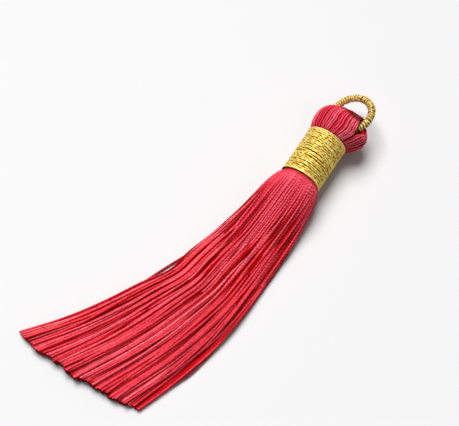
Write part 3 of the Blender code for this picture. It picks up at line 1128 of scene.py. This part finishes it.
def headLoops(layers):
    paths = []
    count = head["loops"]
    leftEnd = head["crestMiddle"] - head["crestHalf"]
    for layer in layers:
        bunch = np.cumsum(chance.integers(*head["bunch"], count))
        lifts = chance.uniform(*head["bunchLift"], count)
        for i in range(count):
            share = -1 + 2 * (i + 0.5) / count
            turned = math.sin(share * head["crestTurn"])
            crestX = head["crestMiddle"] + head["crestHalf"] * layer * turned
            top = head["crest"] - (1 - layer) * head["layerFalls"]
            top = top - head["crestFalls"] * max(0, crestX - leftEnd)
            squash = top / head["tableCrest"]
            front = headPath(1, share + chance.normal(0, head["strays"][0]), layer, squash)
            rear = headPath(-1, share + chance.normal(0, head["strays"][1]), layer, squash)
            lift = lifts[np.searchsorted(bunch, i, side="right")] + chance.normal(0, head["lift"])
            path = np.concatenate([front, [[crestX, 0.0, top + lift]], rear[::-1]])
            path[1:-1, 0] += chance.normal(0, head["strays"][2], len(path) - 2)
            world = neckTop + path @ np.array([alongRing, towardsFront, axisDir])
            paths.append(evenly(world, head["points"][0 if layer == 1.0 else 1]))
    return np.stack(paths)


def headPiece(name, layers, plies):
    loops = headLoops(layers)
    middle = neckTop + head["open"][1] * axisDir + head["open"][0] * alongRing
    height = (loops - neckTop) @ axisDir
    front = (loops - neckTop) @ towardsFront
    across = (loops - neckTop) @ alongRing
    # painted shade on the crest, darker to the right
    crest = fade(front, *headShade["front"]) * fade(front, *headShade["back"])
    crest = crest * fade(height, *headShade["below"])
    dark, rise = headShade["dark"]
    crest = crest * np.clip(dark + across / rise, *headShade["limits"])
    tucked = np.maximum(fade(height, *headShade["tucked"]), crest)
    redPiece(
        name, loops, head["radius"], headRed, head["sides"], loops - middle,
        plies=plies, tucked=tucked,
    )


headPiece("headLoops", head["layers"][:1], (2, head["plyDepth"], headFinish["plyPitch"]))
headPiece("headFilling", head["layers"][1:], None)


# Gold binding

binding = {
    "turns": 25,
    "radius": 0.235,
    "perTurn": 190,
    "sides": 8,
    "inside": 0.03,  # mm
    "wander": 0.07,  # mm a turn strays sideways
    "lift": 0.035,  # mm it lies higher or lower
    "wanders": 14,  # times in one turn
    "rim": 0.19,  # radius of the last turn at each end
    "rimPoints": 181,
    "rimInset": 0.7,  # of that radius, from each end of the neck
}
bindingCore = {
    "radius": 4.45,
    "endRadius": 3.9,  # at its two ends
    "short": 0.4,  # mm from each end of the neck
    "sides": 96,
}


def bindingPath():
    turns = binding["turns"]
    share = np.linspace(0, 1, turns * binding["perTurn"])
    around = turns * share
    margin = binding["radius"] + 0.5 * binding["rim"]
    wound = np.clip((around - 1) / (turns - 2), 0, 1)  # the first and the last turn lie square
    even = margin + (neck["length"] - 2 * margin) * wound
    places = np.linspace(0, turns, binding["wanders"] * turns + 1)
    offsets = chance.normal(0, binding["wander"], len(places))
    lifts = chance.normal(0, binding["lift"], len(places))
    inside = np.sin(np.pi * share) ** 0.5
    along = even + np.interp(around, places, offsets) * inside
    out = neck["radius"] - binding["radius"] - binding["inside"]
    out = out + np.interp(around, places, lifts)
    radial = aroundNeck(2 * np.pi * (around - 0.25))  # it starts and ends underneath
    path = neckStart + along[:, None] * axisDir + out[:, None] * radial
    return path[None], radial[None]


def rimPaths():
    # one smooth turn at each end
    radial = aroundNeck(np.linspace(0, 2 * np.pi, binding["rimPoints"]))
    out = neck["radius"] - 0.5 * binding["rim"]
    inset = binding["rimInset"] * binding["rim"]
    paths = [
        neckStart + along * axisDir + out * radial
        for along in (inset, neck["length"] - inset)
    ]
    return np.stack(paths), np.stack([radial, radial])


def bindingBed():
    # painted shade under the turns: a dark tube round the bound threads
    near, far = bindingCore["short"], neck["length"] - bindingCore["short"]
    small, full = bindingCore["endRadius"], bindingCore["radius"]
    radial = aroundNeck(np.linspace(0, 2 * np.pi, bindingCore["sides"], endpoint=False))
    return np.concatenate([
        neckStart + along * axisDir + radius * radial
        for along, radius in ((near, small), (near, full), (far, full), (far, small))
    ])


path, radial = bindingPath()
bindingPiece = threadPiece(
    "neckBinding", path, radial, binding["radius"], binding["sides"], bindingGold,
    plies=(2, 0.2, plyPitch["binding"]),
)
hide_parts("gold_binding")
path, radial = rimPaths()
rimPiece = threadPiece(
    "bindingRims", path, radial, binding["rim"], binding["sides"], rimGold,
    plies=(2, 0.1, plyPitch["binding"]),
)


# Ring

ring = {
    "wraps": 50,
    "core": 0.62,
    "thread": 0.255,
    "out": 0.02,  # mm outside the core
    "slips": [(0.0016, 17, 0), (0.0013, 29, 1)],  # share of a round, times in it, start
    "perWrap": 28,
    "sides": 8,
    "coreRings": 96,
    "coreSides": 20,
}
ringCentre = neckTop + axisDir * ringPlace["above"] + alongRing * ringPlace["right"]


def ringPoint(angle):
    out = np.cos(angle)[:, None] * alongRing + np.sin(angle)[:, None] * axisDir
    return ringCentre + ringPlace["radius"] * out, out


def ringWrapPath():
    share = np.linspace(0, 1, ring["wraps"] * ring["perWrap"])
    slip = sum(
        most * np.sin(2 * np.pi * times * share + late) for most, times, late in ring["slips"]
    )
    middle, out = ringPoint(2 * np.pi * (share + slip))
    about = 2 * np.pi * ring["wraps"] * share
    radial = np.cos(about)[:, None] * out + np.sin(about)[:, None] * towardsFront
    return (middle + (ring["core"] + ring["out"]) * radial)[None], radial[None]


path, radial = ringWrapPath()
ringPiece = threadPiece(
    "ringWrap", path, radial, ring["thread"], ring["sides"], ringGold,
    plies=(2, 0.2, plyPitch["ring"]),
)
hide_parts("hanging_ring")


# Under the gold threads

coreSharp = 40.0  # degrees


def makeCore(name, verts, sides, closed):
    # A tube through rings of points. closed joins the last ring to the first one.
    rings = len(verts) // sides
    mesh = bpy.data.meshes.new(name)
    faces = []
    for k in range(rings if closed else rings - 1):
        for i in range(sides):
            j = (i + 1) % sides
            n = (k + 1) % rings
            faces.append((k * sides + i, k * sides + j, n * sides + j, n * sides + i))
    if not closed:
        faces.append(tuple(range(sides))[::-1])
        faces.append(tuple(range((rings - 1) * sides, rings * sides)))
    mesh.from_pydata(((verts + start) * mm).tolist(), [], faces)
    mesh.shade_smooth()
    mesh.set_sharp_from_angle(angle=math.radians(coreSharp))
    mesh.materials.append(goldCore)
    piece = addObject(name, mesh)
    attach(piece, "root")


def ringCoreVerts():
    rings, sides = ring["coreRings"], ring["coreSides"]
    middle, out = ringPoint(np.linspace(0, 2 * np.pi, rings, endpoint=False))
    angle = np.linspace(0, 2 * np.pi, sides, endpoint=False)[None, :, None]
    radial = np.cos(angle) * out[:, None] + np.sin(angle) * towardsFront
    return (middle[:, None] + ring["core"] * radial).reshape(-1, 3)


makeCore("bindingBed", bindingBed(), bindingCore["sides"], False)
makeCore("ringCore", ringCoreVerts(), ring["coreSides"], True)


# Table, light and camera

table = {
    "size": 3.0,  # metres
    "colour": (0.60, 0.60, 0.606, 1),
    "roughness": 0.55,
    "shine": 0.5,
}


def makeTable():
    mesh = bpy.data.meshes.new("table")
    half = table["size"] / 2
    corners = [(-half, -half, 0), (half, -half, 0), (half, half, 0), (-half, half, 0)]
    mesh.from_pydata(corners, [], [(0, 1, 2, 3)])
    material, _, shader = newMaterial("paleTable", table)
    shader.inputs["Base Color"].default_value = table["colour"]
    mesh.materials.append(material)
    addObject("table", mesh)


camera = {
    "azimuth": 30.5,
    "elevation": 65.0,
    "lens": 100.0,
    "sensor": 36.0,
    "imageSize": (459, 426),
    "scale": 4.44,  # pixels for each millimetre at the neck
    "neckPixel": (301.6, 179.5),  # where the neck's lower end is seen
    "neckHeight": 5.0,
}


def makeCamera():
    azimuth = math.radians(camera["azimuth"])
    elevation = math.radians(camera["elevation"])
    back = np.array([
        math.sin(azimuth) * math.cos(elevation),
        -math.cos(azimuth) * math.cos(elevation),
        math.sin(elevation),
    ])
    right = unit(np.cross(-back, [0, 0, 1]))
    up = np.cross(right, -back)
    width, height = camera["imageSize"]
    focal = camera["lens"] / camera["sensor"] * width  # pixels
    distance = focal / camera["scale"]
    sideways = (camera["neckPixel"][0] - width / 2) / camera["scale"]
    upward = (height / 2 - camera["neckPixel"][1]) / camera["scale"]
    target = start + np.array([0, 0, camera["neckHeight"]])
    place = target + back * distance - right * sideways - up * upward
    data = bpy.data.cameras.new("photoCamera")
    data.lens = camera["lens"]
    data.sensor_width = camera["sensor"]
    data.clip_start = 0.01
    item = addObject("photoCamera", data)
    turned = Matrix([right, up, back]).transposed().to_4x4()
    item.matrix_world = Matrix.Translation(Vector(place * mm)) @ turned
    bpy.context.scene.camera = item


sun = {
    "from": (-0.45, 0.40, 1.2),
    "strength": 4.2,
    "angle": 36.0,  # degrees across, as a large window is
    "colour": (1.0, 0.99, 0.98),
}
fill = {"at": (1.1, -0.7, 1.3), "size": 1.2, "power": 1.5, "colour": (0.98, 0.98, 1.0)}
room = {"colour": (0.95, 0.96, 1.0, 1), "strength": 0.22}


def addLight(name, kind, place, power, colour):
    data = bpy.data.lights.new(name, kind)
    data.energy = power
    data.color = colour
    item = addObject(name, data)
    item.location = place
    item.rotation_euler = Vector(place).to_track_quat("Z", "Y").to_euler()
    return data


def makeLights():
    window = addLight("window", "SUN", sun["from"], sun["strength"], sun["colour"])
    window.angle = math.radians(sun["angle"])
    soft = addLight("fill", "AREA", fill["at"], fill["power"], fill["colour"])
    soft.shape = "DISK"
    soft.size = fill["size"]
    world = bpy.data.worlds.new("studio")
    world.use_nodes = True
    background = world.node_tree.nodes["Background"]
    background.inputs["Color"].default_value = room["colour"]
    background.inputs["Strength"].default_value = room["strength"]
    bpy.context.scene.world = world
    bpy.context.scene.view_settings.view_transform = "Standard"


makeTable()
makeCamera()
makeLights()
print("table, camera and lights made")
